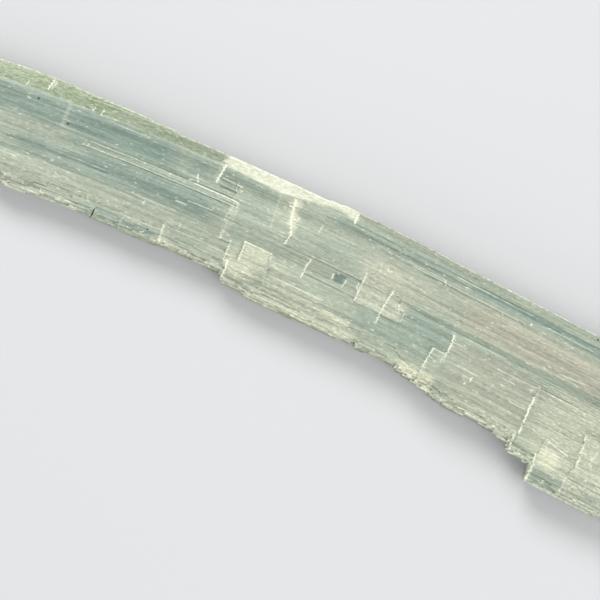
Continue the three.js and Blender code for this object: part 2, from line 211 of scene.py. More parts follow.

# White marks across the grain, partly breaks and, along the edges of the plates, partly painted
# highlight of the step walls; as s and t of both ends, width, length of the feathers that trail off
# to the right, strength
BREAKS_AND_STEP_HIGHLIGHTS = (
    (-79.8, 15.8, -79.1, 19.2, 0.34, 1.0, 0.9), (-78.8, 16.2, -78.4, 18.8, 0.24, 0.4, 0.7),
    (-85.7, 14.8, -85.3, 16.3, 0.3, 0.5, 0.7), (-66.6, 14.5, -66.3, 16, 0.25, 0.4, 0.6),
    (-64.2, 14.2, -63.9, 16.1, 0.28, 0.3, 0.7), (-72.9, 7.8, -72.6, 14.6, 0.8, 0.8, 0.2),
    (-64.6, 5.2, -64.4, 6.1, 0.3, 0.3, 0.6), (-45.1, -3.8, -44.6, -2.6, 0.28, 0.4, 0.6),
    (-59.8, -6.8, -59, -8.6, 0.28, 0.4, 0.45), (-48.9, -10.6, -48.2, -7.6, 0.3, 1.2, 0.4),
    (-28.9, 9.3, -28.3, 14.7, 0.36, 0.5, 0.95), (-34.4, 9.6, -33.4, 7.2, 0.3, 0.4, 0.8),
    (-22.6, 5.6, -22.1, -4.1, 0.8, 2.4, 0.3), (-21.3, 6.8, -21.1, 5.2, 0.26, 0.4, 0.7),
    (-19.1, -3.2, -18.7, -9.6, 0.28, 1.6, 0.6), (-33.4, -4.4, -33.3, -6.4, 0.25, 0.8, 0.45),
    (-37.4, -6.5, -37, -12.4, 0.5, 1.4, 0.6), (-15.2, -2, -15, -7.6, 0.28, 0.8, 0.75),
    (-17.8, -8, -17.2, -12.6, 0.5, 3, 0.75), (-7.6, 14, -6.6, 8.4, 0.55, 1.8, 0.85),
    (-6.6, 8.4, -4.8, 4.6, 0.5, 1.2, 0.85), (-4.9, 4.6, -5.5, 1.6, 0.3, 0.5, 0.95),
    (-11.9, 14.4, -10.8, 4, 0.3, 2, 0.25), (-13.4, 8.9, -13, 7.6, 0.22, 0.5, 0.55),
    (1.9, 10.7, 1.6, 8.2, 0.28, 0.8, 0.6), (9.2, 14.6, 9.1, 17.6, 0.4, 0.3, 1.0),
    (2.9, 1, 2.6, -0.6, 0.26, 0.4, 0.65), (2.4, -0.6, 2.4, -4.8, 0.28, 0.4, 0.85),
    (9.9, 0.2, 10.4, -1.7, 0.28, 0.3, 0.75), (13.9, 0, 13.5, -2.3, 0.24, 0.4, 0.55),
    (17.3, 0.8, 17.2, -0.6, 0.28, 0.5, 0.65), (17.2, -0.6, 18.2, -1.6, 0.28, 0.4, 0.75),
    (18.1, 4.2, 18.1, -4.2, 0.26, 0.5, 0.8), (26.6, 3.4, 25.9, -2, 0.28, 0.5, 0.95),
    (25.9, -2, 26, -6.6, 0.26, 0.4, 0.8), (29.5, 0.6, 30.4, -1.8, 0.28, 0.8, 0.65),
    (31.9, -1, 31.8, -3.9, 0.24, 0.3, 0.65), (20.4, 8, 20.9, 6.9, 0.22, 0.4, 0.5),
    (22.3, 8.6, 22.9, 7.1, 0.22, 0.4, 0.5), (37.5, 11.9, 38.4, 10.6, 0.26, 0.4, 0.65),
    (43.1, -5.8, 42.6, -11.9, 0.28, 1.6, 0.8), (46.6, -0.1, 46.9, -3.2, 0.36, 1.4, 0.95),
    (46.9, -3.2, 46.9, -6.4, 0.3, 0.9, 0.8), (46.9, -6.2, 46.4, -8.4, 0.24, 0.8, 0.4),
    (56, -8.1, 56, -9.3, 0.34, 0.2, 1.0), (54.8, -10.1, 54.8, -10.9, 0.28, 0.3, 0.75),
    (63.7, 12.2, 63.6, 11.6, 0.3, 0.2, 1.0), (54.2, 7.7, 54.2, 7.4, 0.25, 0.2, 0.9),
    (71.9, -3.4, 71.7, -5, 0.24, 1.6, 0.5), (73.4, -5.2, 73.5, -8.2, 0.36, 1.4, 1.0),
    (73.5, -8, 74, -15.6, 0.34, 0.6, 1.0), (73, -15.6, 73.8, -20.8, 0.4, 1.2, 0.6),
    (82.2, -13.8, 82.4, -16.4, 0.26, 1.6, 0.55), (80.7, -18.4, 81.5, -26, 0.36, 0.8, 0.65),
    (90.5, -7.9, 91.9, -16.8, 0.34, 1.0, 0.75), (95.3, -10.4, 94.6, -14.8, 0.28, 1, 0.5),
    (90.7, -20.4, 91, -25.4, 0.3, 0.8, 0.5), (85.9, -23.6, 85.6, -25.6, 0.22, 0.3, 0.45),
)

# Fine lines along the grain, as s and t of both ends, width, strength; dark ones below zero
HAIRLINES = (
    (-64, 6.8, -21.4, 6.7, 0.2, 0.5), (-34, 6.8, -21.6, 6.65, 0.26, 0.6),
    (-66, 5.3, -20.9, 5.3, 0.22, 0.5), (-48, 4.9, -22.8, 4.9, 0.2, -0.5),
    (-75, 1.1, -58, 0.9, 0.18, 0.35), (-86, 0.4, -57, 0.4, 0.45, -0.5),
    (-82, -0.7, -74, -0.7, 0.35, -0.35), (-60, 13.6, -50, 13.4, 0.22, 0.4),
    (-49, -2, -36, -2, 0.18, 0.4), (-27.8, 11.1, -22, 10.9, 0.22, 0.75),
    (-28, 10.5, -22.6, 10.5, 0.25, -0.65), (-28, 9.6, -23, 9.5, 0.18, 0.5),
    (-27, 9.1, -22.6, 9.1, 0.2, -0.4), (-36, 7.6, -18, 7.5, 0.16, 0.35),
    (-34, 1.8, -27, 1.9, 0.22, 0.5), (-37, 0.6, -34, 0.6, 0.3, 0.6),
    (-34, -6.8, -20, -7.0, 0.18, 0.4), (-24, -7.2, -17, -7.3, 0.18, 0.5),
    (-15.6, -2.2, -7.4, -2.3, 0.3, 0.8), (-13, 0, 4, 0, 0.25, -0.25),
    (2, 13.2, 46, 13.2, 0.28, -0.45), (5, 14.6, 60, 14.5, 0.25, -0.35),
    (17, 12.1, 38, 11.9, 0.18, 0.4), (28, 11.4, 60, 11.3, 0.18, 0.5),
    (32, 10.8, 62, 10.9, 0.25, -0.5), (3, -3.3, 17.4, -3.3, 0.2, -0.35),
    (18.4, -4.1, 31.6, -4.1, 0.18, 0.45), (18, -4.5, 31, -4.5, 0.2, -0.3),
    (-3, -7.9, 10.4, -7.8, 0.26, 0.6), (5, 1.8, 27, 1.8, 0.16, 0.3),
    (40, 14.2, 63, 14.2, 0.18, 0.5), (45, 13.6, 72, 13.5, 0.4, -0.4),
    (68, 13.1, 82, 13.1, 0.18, 0.45), (72, 14.8, 84, 14.9, 0.18, 0.45),
    (70, 12.6, 88, 12.6, 0.22, -0.35), (76.6, 3.5, 85, 4.2, 0.2, 0.6),
    (50, 2.1, 92, 2.1, 0.45, -0.25), (49, 0.5, 62, 0.5, 0.22, 0.45),
    (43, -5.8, 46.6, -5.8, 0.24, 0.6), (51, -7, 57, -7.1, 0.22, 0.5),
    (53.4, -8.6, 55.9, -8.6, 0.18, 0.5), (47, -1.9, 51, -1.9, 0.24, 0.55),
    (61, -2.9, 73, -2.8, 0.2, 0.5), (76, -2.7, 85.4, -2.6, 0.18, 0.6),
    (63.5, -4.5, 67, -4.5, 0.22, 0.5), (67.6, -9.3, 72.6, -9.3, 0.22, 0.6),
    (75, -6.8, 88, -6.8, 0.2, 0.35), (82.5, -14.2, 88.6, -15.2, 0.24, 0.8),
    (83, -13.2, 85, -13.3, 0.22, 0.6), (75, -16.3, 80, -16.4, 0.18, 0.5),
)
DARK_CRACK = (-56.6, -10.1, -57.0, -12.3, 0.3)  # s and t of both ends, width

# The parts of the finish that aren't among the add-on's colours
BLUSH = (0.47, 0.42, 0.34)  # faint pinkish mottles of the olive band
STAIN = (0.02, 0.025, 0.02)  # specks and the dark crack
IOR = 1.52
ABSORPTION = {"Color": (0.78, 0.88, 0.7, 1.0), "Density": 25.0}

# The photograph: its width in pixels, the s and t at its middle, and how far it is turned
PHOTO_WIDTH = 600
PHOTO_MIDDLE = (4.8, -10.3)
PHOTO_TURN = math.radians(24.3)
SENSOR = 36.0  # width of the camera's sensor in millimetres


class BladeSizes(bpy.types.PropertyGroup):
    cell_along: bpy.props.FloatProperty(
        name="Cell along",
        description="Longest stretch of the blade's length between two lines of its mesh",
        default=1.2 * MM,
        min=0.5 * MM,
        unit="LENGTH",
    )
    cell_across: bpy.props.FloatProperty(
        name="Cell across",
        description="Width of the mesh's long thin faces",
        default=0.4 * MM,
        min=0.2 * MM,
        unit="LENGTH",
    )
    striation_depth: bpy.props.FloatProperty(
        name="Striation depth",
        description="Height of the fine ridges that run along the blade",
        default=0.16 * MM,
        min=0.0,
        unit="LENGTH",
    )
    splinter_count: bpy.props.IntProperty(
        name="Splinters",
        description="Number of thin laths that stand out of or are missing from the top face",
        default=48,
        min=0,
    )


class BladeColours(bpy.types.PropertyGroup):
    sage: bpy.props.FloatVectorProperty(
        name="Sage",
        description="Colour of the milky crystal",
        subtype="COLOR",
        default=(0.42, 0.47, 0.37),
        min=0.0,
        max=1.0,
    )
    # Cream is also the colour that the painted highlight of the back facet is lightened towards
    cream: bpy.props.FloatVectorProperty(
        name="Cream",
        description="Colour where the crystal is split and milky",
        subtype="COLOR",
        default=(0.67, 0.68, 0.5),
        min=0.0,
        max=1.0,
    )
    # Besides bruises, this is the colour of the painted highlights at the steps, rims and back
    # facet, and of the painted glints
    bruise_and_highlight: bpy.props.FloatVectorProperty(
        name="Bruise",
        description="Colour of breaks, edges and other bruised places",
        subtype="COLOR",
        default=(0.86, 0.88, 0.71),
        min=0.0,
        max=1.0,
    )
    mist: bpy.props.FloatVectorProperty(
        name="Mist",
        description="Colour of the clear, blue-grey stretches",
        subtype="COLOR",
        default=(0.34, 0.46, 0.385),
        min=0.0,
        max=1.0,
    )
    warm: bpy.props.FloatVectorProperty(
        name="Warm",
        description="Colour of the beige stretches",
        subtype="COLOR",
        default=(0.475, 0.475, 0.37),
        min=0.0,
        max=1.0,
    )
    olive: bpy.props.FloatVectorProperty(
        name="Olive",
        description="Tint of the long back facet",
        subtype="COLOR",
        default=(0.2, 0.285, 0.115),
        min=0.0,
        max=1.0,
    )


class StageSettings(bpy.types.PropertyGroup):
    lens: bpy.props.FloatProperty(
        name="Lens",
        description="Focal length of the camera in millimetres",
        default=180.0,
        min=50.0,
    )
    millimetres_per_pixel: bpy.props.FloatProperty(
        name="Millimetres per pixel",
        description="Scale of the picture at the blade's top face",
        default=0.27,
        min=0.01,
    )
    floor_colour: bpy.props.FloatVectorProperty(
        name="Floor colour",
        description="Colour of the plain floor",
        subtype="COLOR",
        default=(0.62, 0.63, 0.64),
        min=0.0,
        max=1.0,
    )


def deselect_all():
    bpy.ops.object.select_all(action="DESELECT")


@contextmanager
def edit_mode(select="FACE"):
    kinds = ("VERT", "EDGE", "FACE")
    bpy.context.tool_settings.mesh_select_mode = [kind == select for kind in kinds]
    bpy.ops.object.mode_set(mode="EDIT")
    yield
    bpy.ops.object.mode_set(mode="OBJECT")


def points_of(mesh):
    """The mesh's points in millimetres"""
    points = np.empty(len(mesh.vertices) * 3)
    mesh.vertices.foreach_get("co", points)
    return points.reshape(-1, 3) / MM


def set_points(mesh, points):
    mesh.vertices.foreach_set("co", (points * MM).ravel())
    mesh.update()


def faces_of(mesh):
    """The middle of each face in millimetres, and its normal"""
    middles = np.empty(len(mesh.polygons) * 3)
    normals = np.empty(len(mesh.polygons) * 3)
    mesh.polygons.foreach_get("center", middles)
    mesh.polygons.foreach_get("normal", normals)
    return middles.reshape(-1, 3) / MM, normals.reshape(-1, 3)


def select_only(mesh, elements, chosen):
    """Selects the chosen ones of the mesh's edges or faces, and nothing else"""
    for others in (mesh.vertices, mesh.edges, mesh.polygons):
        others.foreach_set("select", np.zeros(len(others), bool))
    elements.foreach_set("select", chosen)


def in_plan(plan, s, t):
    """Which of the places s, t lie inside a plan given by its corners"""
    inside = np.zeros(s.shape, bool)
    for (s0, t0), (s1, t1) in zip(plan, plan[1:] + plan[:1]):
        if t0 == t1:
            continue
        crosses = ((t0 > t) != (t1 > t)) & (s < s0 + (s1 - s0) * (t - t0) / (t1 - t0))
        inside ^= crosses
    return inside


def soft_step(low, high, value):
    x = np.clip((value - low) / (high - low), 0, 1)
    return x * x * (3 - 2 * x)


def edge_at(edge, s):
    return np.interp(s, [at for at, _ in edge], [t for _, t in edge])


def held_steps(random, low, high, shortest, longest):
    """A value between low and high that holds for a stretch of s and then jumps to the next"""
    lengths = random.uniform(shortest, longest, int(300 / shortest) + 1)
    starts = -125 + np.concatenate([[0], np.cumsum(lengths)])
    values = random.uniform(low, high, len(starts))
    return lambda s: values[np.searchsorted(starts, s, side="right") - 1]


class Growth:
    """How far each place of the block is grown outwards, in millimetres"""

    def __init__(self, splinters):
        random = np.random.default_rng(SEED)
        self.front_layers = [
            (z, held_steps(random, low, high, *LAYER_HOLDS)) for z, low, high in FRONT_LAYERS
        ]
        self.shelves = [
            (drop, held_steps(random, reach * 0.5, reach * 1.35, *SHELF_HOLDS))
            for drop, reach in FRONT_SHELVES
        ]
        self.splinters = []
        for _ in range(splinters):
            s, t = random.uniform(-112, 112), random.uniform(-22, 15)
            length, width = random.uniform(4, 46), random.uniform(0.35, 2.2)
            rise = random.choice([-0.1, 0.1, 0.1])
            self.splinters.append((s, s + length, t, t + width, rise))
        self.under = []  # shallow hollows of the underside
        for _ in range(splinters // 3):
            s, t = random.uniform(-112, 100), random.uniform(-20, 14)
            length, width = random.uniform(8, 60), random.uniform(0.5, 2.6)
            self.under.append((s, s + length, t, t + width, random.choice([0.1, 0.2])))

    def front(self, s, t, z):
        out = FRONT_REACH - edge_at(FRONT_EDGE, s)
        recess = np.zeros(s.shape)
        low = -99
        for high, layer in self.front_layers:
            inside = (z > low) & (z <= high)
            recess[inside] = layer(s[inside])
            low = high
        return out - recess + BLOCK_T[0]

    def top(self, s, t, z):
        level = np.zeros(s.shape)
        for height, plan in PLATES:
            level = np.where(in_plan(plan, s, t), np.maximum(level, height), level)
        for s0, s1, t0, t1, rise in self.splinters:
            level += rise * ((s > s0) & (s < s1) & (t > t0) & (t < t1))
        for (s0, s1), (t0, t1), floor in PITS:
            level = np.where((s > s0) & (s < s1) & (t > t0) & (t < t1), floor, level)
        inward = t - edge_at(FRONT_EDGE, s)
        for drop, reach in self.shelves:
            level -= drop * (inward < reach(s))
        return level + TOP - BLOCK_Z[1]

    def underside(self, s, t, z):
        depth = np.zeros(s.shape)
        for step, plan in UNDER_STEPS:
            depth = np.where(in_plan(plan, s, t), np.maximum(depth, step), depth)
        for s0, s1, t0, t1, step in self.under:
            depth += step * ((s > s0) & (s < s1) & (t > t0) & (t < t1))
        return BLOCK_Z[0] - np.minimum(depth, BLOCK_Z[0] - 0.05)

    @staticmethod
    def end(laths, s, t, z):
        third = np.digitize(z, THIRDS)
        out = np.zeros(s.shape)
        for t0, t1, *ends, _ in laths:
            inside = (t > t0) & (t <= t1)
            out[inside] = np.abs(np.array(ends))[third[inside]]
        return out

    def left(self, s, t, z):
        return self.end(LEFT_LATHS, s, t, z) + BLOCK_S[0]

    def right(self, s, t, z):
        return self.end(RIGHT_LATHS, s, t, z) - BLOCK_S[1]


def add_block():
    """The block that the blade grows from"""
    deselect_all()
    low = np.array([BLOCK_S[0], BLOCK_T[0], BLOCK_Z[0]]) * MM
    high = np.array([BLOCK_S[1], BLOCK_T[1], BLOCK_Z[1]]) * MM
    bpy.ops.mesh.primitive_cube_add(size=1, location=(low + high) / 2, scale=high - low)
    block = bpy.context.object
    block.name = block.data.name = "crystal_blade"
    bpy.ops.object.transform_apply(location=True, rotation=True, scale=True)
    return block


def cut_between(block, axis, low, high, cuts):
    """Cuts the stretch of an axis from low to high into equal slices"""
    mesh = block.data
    points = points_of(mesh)
    edges = np.empty(len(mesh.edges) * 2, int)
    mesh.edges.foreach_get("vertices", edges)
    ends = points[edges.reshape(-1, 2)][:, :, axis]
    middle = ends.mean(1)
    runs = np.abs(ends[:, 0] - ends[:, 1]) > 1e-3
    select_only(mesh, mesh.edges, runs & (middle > low) & (middle < high))
    with edit_mode("EDGE"):
        bpy.ops.mesh.subdivide(number_cuts=cuts)


def bisect_at(block, places):
    """Cuts the block across at each of the given s"""
    mesh = block.data
    for s in places:
        select_only(mesh, mesh.polygons, np.ones(len(mesh.polygons), bool))
        with edit_mode():
            bpy.ops.mesh.bisect(plane_co=(s * MM, 0, 0), plane_no=(1, 0, 0))


def grow(block, facing, how_far, from_level, step):
    """Extrudes one side of the block outwards, each face as far as how_far says, in steps that
    all the faces that go further share"""
    mesh = block.data
    facing = np.array(facing)
    axis = int(np.argmax(np.abs(facing)))

    def reach_of_side(at):
        middles, normals = faces_of(mesh)
        side = (normals @ facing > 0.9) & (np.abs(middles[:, axis] - at) < 0.01)
        reach = np.zeros(len(side), int)
        reach[side] = np.round(how_far(*middles[side].T) / step)
        return reach

    levels = np.unique(reach_of_side(from_level))
    done = 0
    for level in levels[levels > 0]:
        reach = reach_of_side(from_level + facing[axis] * done * step)
        select_only(mesh, mesh.polygons, reach >= level)
        move = facing * float((level - done) * step * MM)
        with edit_mode():
            bpy.ops.mesh.extrude_region_move(TRANSFORM_OT_translate={"value": tuple(move)})
        done = level


def line_places():
    """The places along the blade where something steps"""
    low, high = BLOCK_S[0] + 1, BLOCK_S[1] - 1
    steps = {s for _, plan in PLATES for s, _ in plan} | {s for s, _ in FRONT_EDGE}
    steps |= {s for ends, _, _ in PITS for s in ends} | {s for s, _ in BACK_EDGE}
    places = []
    for s in sorted(steps):
        if low < s < high and (not places or s - places[-1] > 0.35):
            places.append(s)
    return places


def model_block(sizes, growth):
    """The whole blade as if it were straight, with all its steps but square in section"""
    block = add_block()
    across = (BLOCK_T[1] - BLOCK_T[0]) * MM / sizes.cell_across
    cut_between(block, 1, *BLOCK_T, round(across) - 1)
    cut_between(block, 2, *BLOCK_Z, 9)
    grow(block, (-1, 0, 0), growth.left, BLOCK_S[0], END_STEP)
    grow(block, (1, 0, 0), growth.right, BLOCK_S[1], END_STEP)
    places = line_places()
    bisect_at(block, places)
    bounds = [BLOCK_S[0], *places, BLOCK_S[1]]
    for low, high in zip(bounds, bounds[1:]):
        cuts = math.ceil((high - low) * MM / sizes.cell_along) - 1
        if cuts > 0:
            cut_between(block, 0, low, high, cuts)
    grow(block, (0, -1, 0), growth.front, BLOCK_T[0], FRONT_STEP)
    grow(block, (0, 0, 1), growth.top, BLOCK_Z[1], FLAT_STEP)
    grow(block, (0, 0, -1), growth.underside, BLOCK_Z[0], FLAT_STEP)
    return block


def draw_into_section(points):
    """Draws the stepped block in to the blade's outline and section: the wavering back edge, the
    long facet over it, the bevels at the foot and the slanted ends of the laths"""
    s, t, z = points.T.copy()
    for laths, end in ((LEFT_LATHS, BLOCK_S[0]), (RIGHT_LATHS, BLOCK_S[1])):
        for t0, t1, *ends, slant in laths:
            width = min(t1, BLOCK_T[1]) - max(t0, -27)
            beyond = np.clip((s - end) / (ends[1] - end), 0, 1)
            inside = (t >= t0) & (t < t1)
            s += inside * slant * beyond * (t - max(t0, -27)) / width
    s += 0.16 * np.sin(1.9 * t + 0.11 * s) + 0.09 * np.sin(5.3 * t + 1.3 * z)
    back, front = edge_at(BACK_EDGE, s), edge_at(FRONT_EDGE, s)
    pull = np.clip((t - 8) / (BLOCK_T[1] - 8), 0, 1)
    t += pull**2 * (back - BLOCK_T[1])
    facet = np.clip(1 - (back - t) / (back - FACET_EDGE), 0, 1)
    z -= FACET_DROP * facet * np.clip((z - 5) / (TOP - 5), 0, 1)
    near_back = soft_step(back - 6, back, t)
    near_front = soft_step(-front - 6, -front, -t)
    t -= near_back * np.interp(z, *BACK_BEVEL)
    t += near_front * np.interp(z, *FRONT_BEVEL)
    return np.column_stack([s, t, z])


def patches(places, s, t):
    """How far each place lies inside the patches. A soft patch fades out slowly along the grain."""
    amount = np.zeros(s.shape)
    for s0, s1, t0, t1, soft, strength in places:
        fade = soft if soft < 0.35 else 4 * soft
        along = soft_step(s0 - fade, s0 + fade, s) * soft_step(-s1 - fade, -s1 + fade, -s)
        over = soft_step(t0 - soft, t0 + soft, t) * soft_step(-t1 - soft, -t1 + soft, -t)
        amount = np.maximum(amount, along * over * strength)
    return amount


def step_height(growth, s, t):
    """How much the top face steps at a place"""
    around = [growth.top(s + ds, t + dt, None) for ds in (-0.1, 0.1) for dt in (-0.1, 0.1)]
    along = np.maximum(np.abs(around[0] - around[2]), np.abs(around[1] - around[3]))
    across = np.maximum(np.abs(around[0] - around[1]), np.abs(around[2] - around[3]))
    return np.clip(along / 0.35, 0, 1) + 0.45 * np.clip(across / 0.5, 0, 1)


def paint(block, growth, home):
    """Stores what the material needs at each point: where it lay in the straight blade, how much it
    is bruised or carries painted highlight at its steps and rims, how much painted highlight the
    back facet gets, and how creamy, clear, warm or olive it is. home holds the points before the
    section."""
    mesh = block.data
    lay = points_of(mesh)
    s, across, z = lay.T
    top = home[:, 2] > BLOCK_Z[1] - 0.01
    shallow = soft_step(*SIDE_FADE, z)
    front, back = edge_at(FRONT_EDGE, s), edge_at(BACK_EDGE, s)

    # The steps of the top face, the front rim, the back edge and the broken ends are whitened:
    # partly bruising, and partly painted highlight where the step walls and rims catch the light
    frost_and_painted_highlight = np.where(top, 0.35 * step_height(growth, home[:, 0], home[:, 1]), 0.0)
    frost_and_painted_highlight += (0.2 + 0.3 * shallow) * soft_step(-front - 2.6, -front, -across)
    frost_and_painted_highlight += (0.1 + 0.7 * soft_step(6.4, 7.4, z)) * soft_step(back - 0.5, back, across)
    frost_and_painted_highlight += 0.28 * soft_step(99, 106, np.abs(s))

    # Painted highlight: the back facet is lightened as if it caught the light, in a band that ends
    # raggedly in the middle of the back side
    border = edge_at(BAND_BORDER, s)
    band = soft_step(border - 0.3, border + 0.3, across)
    foot = 4.4 + 0.8 * np.sin(0.23 * s) + 0.3 * np.sin(0.9 * s + 1)
    painted_facet_highlight = band * soft_step(foot, foot + 3, z)
    painted_facet_highlight *= soft_step(-0.2, 0.2, s - PAINTED_HIGHLIGHT_BAND[0]) * soft_step(-0.2, 0.2, PAINTED_HIGHLIGHT_BAND[1] - s)
    fade = 0.35 + 0.65 * shallow
    values = {
        "frost_and_painted_highlight": np.clip(frost_and_painted_highlight, 0, 1),
        "painted_facet_highlight": painted_facet_highlight,
        "cream": patches(CREAM_PATCHES, s, across) * fade,
        "mist": patches(MIST_PATCHES, s, across) * fade,
        "warm": patches(WARM_PATCHES, s, across) * fade,
        "olive": patches(OLIVE_PATCHES, s, across) * band * fade,
    }
    for name, value in values.items():
        mesh.attributes.new(name, "FLOAT", "POINT").data.foreach_set("value", value)
    mesh.attributes.new("lay", "FLOAT_VECTOR", "POINT").data.foreach_set("vector", lay.ravel())


def displace(block, name, stretch, strength):
    """Raises fine relief along the normals with the built-in clouds texture, stretched in
    millimetres by an empty"""
    texture = bpy.data.textures.new(name, "CLOUDS")
    texture.noise_scale = 1
    deselect_all()
    bpy.ops.object.empty_add(location=(0, 0, 0))
    ruler = bpy.context.object
    ruler.scale = [length * MM for length in stretch]
    bpy.context.view_layer.update()
    deselect_all()
    block.select_set(True)
    bpy.context.view_layer.objects.active = block
    bpy.ops.object.modifier_add(type="DISPLACE")
    modifier = block.modifiers[-1]
    modifier.texture = texture
    modifier.texture_coords = "OBJECT"
    modifier.texture_coords_object = ruler
    modifier.direction = "NORMAL"
    modifier.mid_level = 0.5
    modifier.strength = strength
    bpy.ops.object.modifier_apply(modifier=modifier.name)
    bpy.data.objects.remove(ruler)
    bpy.data.textures.remove(texture)


def bend(points):
    """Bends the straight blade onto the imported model's line"""
    s, t, z = points.T
    turned = np.minimum(s, BEND_END) / BEND_RADIUS
    beyond = np.maximum(s - BEND_END, 0)
    x = (BEND_RADIUS + t) * np.sin(turned) + beyond * np.cos(turned)
    y = (BEND_RADIUS + t) * np.cos(turned) - BEND_RADIUS - beyond * np.sin(turned)
    cos, sin = math.cos(CHORD_TURN), math.sin(CHORD_TURN)
    return np.column_stack([x * cos - y * sin - CENTRE[0], x * sin + y * cos - CENTRE[1], z])


class Wiring:
    """Short calls for the nodes of one material or node group"""

    def __init__(self, tree):
        self.tree = tree
        self.tree.nodes.clear()

    def node(self, kind, inputs=(), **settings):
        node = self.tree.nodes.new(kind)
        for key, value in settings.items():
            setattr(node, key, value)
        for key, value in dict(inputs).items():
            if isinstance(value, bpy.types.NodeSocket):
                self.tree.links.new(value, node.inputs[key])
            else:
                node.inputs[key].default_value = value
        return node

    def painted(self, name):
        return self.node("ShaderNodeAttribute", attribute_name=name).outputs["Fac"]

    def math(self, operation, a, b=0.0, c=0.0, clamp=False):
        node = self.node("ShaderNodeMath", {0: a, 1: b, 2: c}, operation=operation, use_clamp=clamp)
        return node.outputs[0]

    def vector(self, operation, a, b):
        return self.node("ShaderNodeVectorMath", {0: a, 1: b}, operation=operation).outputs[0]

    def grain(self, lay, stretch, detail=3.0, roughness=0.55):
        """Noise whose features have the given length, width and height in millimetres"""
        scale = tuple(1 / length for length in stretch)
        place = {"Vector": lay, "Scale": scale}
        place = self.node("ShaderNodeMapping", place, vector_type="POINT").outputs[0]
        noise = {"Vector": place, "Scale": 1.0, "Detail": detail, "Roughness": roughness}
        return self.node("ShaderNodeTexNoise", noise).outputs[0]

    def spread(self, value, low, high, to_low=0.0, to_high=1.0):
        """Eases from to_low to to_high as the value goes from low to high"""
        names = ("Value", "From Min", "From Max", "To Min", "To Max")
        inputs = zip(names, (value, low, high, to_low, to_high))
        node = self.node("ShaderNodeMapRange", inputs, interpolation_type="SMOOTHSTEP")
        return node.outputs[0]

    def mix(self, amount, a, b):
        """Mixes two colours, each a socket or a fixed colour"""
        node = self.node("ShaderNodeMix", {0: amount}, data_type="RGBA", blend_type="MIX")
        for socket, value in ((6, a), (7, b)):
            if isinstance(value, bpy.types.NodeSocket):
                self.tree.links.new(value, node.inputs[socket])
            else:
                node.inputs[socket].default_value = (*value, 1.0)[:4]
        return node.outputs[2]


def mark_group(name, vectors, floats):
    """A node group that adds one mark to the marks So Far"""
    group = bpy.data.node_groups.new(name, "ShaderNodeTree")
    for socket in vectors:
        group.interface.new_socket(socket, in_out="INPUT", socket_type="NodeSocketVector")
    for socket in (*floats, "So Far"):
        group.interface.new_socket(socket, in_out="INPUT", socket_type="NodeSocketFloat")
    group.interface.new_socket("Sum", in_out="OUTPUT", socket_type="NodeSocketFloat")
    w = Wiring(group)
    return group, w, w.node("NodeGroupInput").outputs


# Each mark starts from a place that leans on the marks so far by this much, which is too little
# to see. It makes the marks be worked out one after the other, as one shader can't hold them all.
LEAN = 1e-7


def stroke_group():
    """A node group for a straight stroke: how near a place lies to the line between two others"""
    vectors, floats = ("Place", "From", "Run"), ("Per Run", "Width", "Strength")
    group, w, given = mark_group("stroke", vectors, floats)
    place = w.node(
        "ShaderNodeVectorMath",
        {0: given["So Far"], 1: (LEAN, LEAN, LEAN), 2: given["Place"]},
        operation="MULTIPLY_ADD",
    ).outputs[0]
    away = w.vector("SUBTRACT", place, given["From"])
    along = w.node("ShaderNodeVectorMath", {0: away, 1: given["Run"]}, operation="DOT_PRODUCT")
    share = w.math("MULTIPLY", along.outputs["Value"], given["Per Run"], clamp=True)
    nearest = w.node("ShaderNodeVectorMath", {0: given["Run"], "Scale": share}, operation="SCALE")
    gap = w.node("ShaderNodeVectorMath", {0: away, 1: nearest.outputs[0]}, operation="DISTANCE")
    inner = w.math("MULTIPLY", given["Width"], 0.25)
    amount = w.spread(gap.outputs["Value"], given["Width"], inner, 0.0, given["Strength"])
    w.node("NodeGroupOutput", {"Sum": w.math("ADD", amount, given["So Far"])})
    return group


def break_and_highlight_group():
    """A node group for a white mark across the grain, used for breaks and for the painted highlight
    along step walls, with feathers that trail off from it along the grain where Feather is high"""
    names = ("Along", "Across", "Feather", "S", "T", "Slope", "Reach", "Width", "Tail", "Strength")
    group, w, given = mark_group("cross_break_and_highlight", (), names)
    across = w.math("MULTIPLY_ADD", given["So Far"], LEAN, given["Across"])
    up = w.math("SUBTRACT", across, given["T"])
    line = w.math("MULTIPLY_ADD", up, given["Slope"], given["S"])
    gap = w.math("SUBTRACT", given["Along"], line)
    inner = w.math("MULTIPLY", given["Width"], 0.3)
    core = w.spread(w.math("ABSOLUTE", gap), given["Width"], inner)
    trail = w.spread(w.math("DIVIDE", gap, given["Tail"]), given["Feather"], 0.0, 0.0, 0.6)
    trail = w.math("MULTIPLY", trail, w.math("GREATER_THAN", gap, 0.0))
    half = w.math("MULTIPLY", given["Reach"], 0.5)
    off = w.math("ABSOLUTE", w.math("SUBTRACT", up, half))
    inside = w.spread(w.math("SUBTRACT", off, half), 0.15, -0.15, 0.0, given["Strength"])
    amount = w.math("MULTIPLY_ADD", w.math("MAXIMUM", core, trail), inside, given["So Far"])
    w.node("NodeGroupOutput", {"Sum": amount})
    return group


